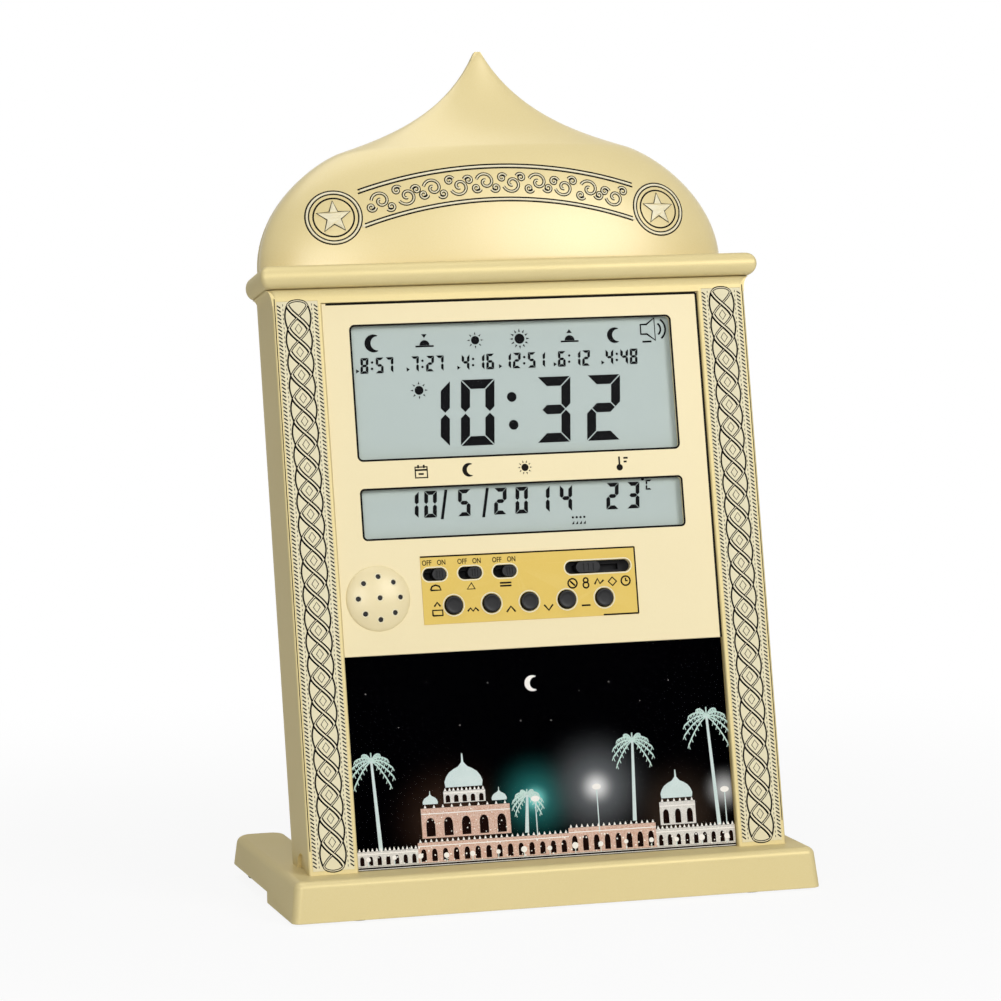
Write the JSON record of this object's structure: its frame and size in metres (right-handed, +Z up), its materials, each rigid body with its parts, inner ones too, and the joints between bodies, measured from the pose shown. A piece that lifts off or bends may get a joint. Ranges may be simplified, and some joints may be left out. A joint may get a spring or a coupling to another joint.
{
  "type": "table azan clock",
  "caption": "Leaning digital table clock with an onion-dome top, ornamented columns, two LCD windows, slide and push controls, a speaker, a picture window and a legged stand.",
  "frame": {"origin": "middle of the footprint of the stand, on the table", "axes": "+X to the right seen from the front, +Y to the rear, +Z up; the display faces -Y and leans back 10.6 degrees"},
  "size_m": [0.2026, 0.1153, 0.3171],
  "materials": {
    "case_gold": "satin champagne-gold paint on moulded plastic",
    "face_gold": "pale satin champagne-gold paint",
    "column_gold": "satin gold with a printed dark lattice",
    "control_gold": "deeper gold label plate, satin",
    "clear_lens": "clear acrylic window",
    "lcd_glass": "grey-green display glass with dark segments",
    "picture_print": "printed night picture on card",
    "button_black": "glossy black moulded plastic",
    "black_plastic": "matt black moulded plastic",
    "zebra_rubber": "elastomer connector strip",
    "board_green": "solder-masked circuit board",
    "chip_black": "black encapsulation",
    "switch_steel": "plated steel",
    "screw_steel": "zinc-plated screw",
    "speaker_paper": "treated paper cone",
    "magnet_iron": "ferrite magnet",
    "lead_red": "insulated lead",
    "cell_wrap": "plain wrapped dry cell",
    "foot_rubber": "matt rubber foot"
  },
  "bodies": {
    "case": {"front_frame": "case_gold", "dome_front": "case_gold", "cornice": "case_gold", "column_inlay_left": "column_gold", "column_inlay_right": "column_gold", "face_panel": "face_gold", "control_plate": "control_gold", "speaker_grille": "face_gold", "main_lcd_lens": "clear_lens", "date_lcd_lens": "clear_lens", "main_lcd_glass": "lcd_glass", "date_lcd_glass": "lcd_glass", "lcd_carrier": "black_plastic", "zebra_strips": "zebra_rubber", "main_board": "board_green", "board_chips": "chip_black", "temperature_sensor": "chip_black", "tact_switches": "switch_steel", "switch_cans": "switch_steel", "selector_can": "switch_steel", "picture_lens": "clear_lens", "picture_card": "picture_print", "speaker_basket": "switch_steel", "speaker_cone": "speaker_paper", "speaker_magnet": "magnet_iron", "speaker_ring": "black_plastic", "speaker_leads": "lead_red", "back_cover": "case_gold", "battery_box": "case_gold", "battery_cells": "cell_wrap", "battery_springs": "switch_steel", "battery_plates": "switch_steel", "power_leads": "lead_red", "dc_jack": "black_plastic", "hanger_plate": "switch_steel", "hanger_rivets": "screw_steel", "case_screws": "screw_steel", "board_screws": "screw_steel", "stand_body": "case_gold", "stand_plate": "black_plastic", "stand_plate_screws": "screw_steel", "case_stand_screws": "screw_steel", "rear_feet": "foot_rubber", "front_feet": "foot_rubber"},
    "button_1": {"button_1": "button_black"},
    "button_2": {"button_2": "button_black"},
    "button_3": {"button_3": "button_black"},
    "button_4": {"button_4": "button_black"},
    "button_5": {"button_5": "button_black"},
    "switch_knob_1": {"switch_knob_1": "button_black"},
    "switch_knob_2": {"switch_knob_2": "button_black"},
    "switch_knob_3": {"switch_knob_3": "button_black"},
    "selector_knob": {"selector_knob": "button_black"},
    "battery_door": {"battery_door": "case_gold"}
  },
  "joints": [
    {"name": "button_1_press", "type": "slide", "parent": "case", "child": "button_1", "axis": [0, 0.9829, -0.184], "range_m": [0, 0.0008], "stiffness_N_per_m": 500, "springref_m": -0.0004},
    {"name": "button_2_press", "type": "slide", "parent": "case", "child": "button_2", "axis": [0, 0.9829, -0.184], "range_m": [0, 0.0008], "stiffness_N_per_m": 500, "springref_m": -0.0004},
    {"name": "button_3_press", "type": "slide", "parent": "case", "child": "button_3", "axis": [0, 0.9829, -0.184], "range_m": [0, 0.0008], "stiffness_N_per_m": 500, "springref_m": -0.0004},
    {"name": "button_4_press", "type": "slide", "parent": "case", "child": "button_4", "axis": [0, 0.9829, -0.184], "range_m": [0, 0.0008], "stiffness_N_per_m": 500, "springref_m": -0.0004},
    {"name": "button_5_press", "type": "slide", "parent": "case", "child": "button_5", "axis": [0, 0.9829, -0.184], "range_m": [0, 0.0008], "stiffness_N_per_m": 500, "springref_m": -0.0004},
    {"name": "switch_knob_1_slide", "type": "slide", "parent": "case", "child": "switch_knob_1", "axis": [1, 0, 0], "range_m": [-0.0033, 0]},
    {"name": "switch_knob_2_slide", "type": "slide", "parent": "case", "child": "switch_knob_2", "axis": [1, 0, 0], "range_m": [-0.0033, 0]},
    {"name": "switch_knob_3_slide", "type": "slide", "parent": "case", "child": "switch_knob_3", "axis": [1, 0, 0], "range_m": [-0.0033, 0]},
    {"name": "selector_slide", "type": "slide", "parent": "case", "child": "selector_knob", "axis": [1, 0, 0], "range_m": [-0.00387, 0.01162]},
    {"name": "battery_door_hinge", "type": "hinge", "parent": "case", "child": "battery_door", "pos_m": [0, -0.01281, 0.0315], "axis": [-1, 0, 0], "range_deg": [0, 100]}
  ]
}
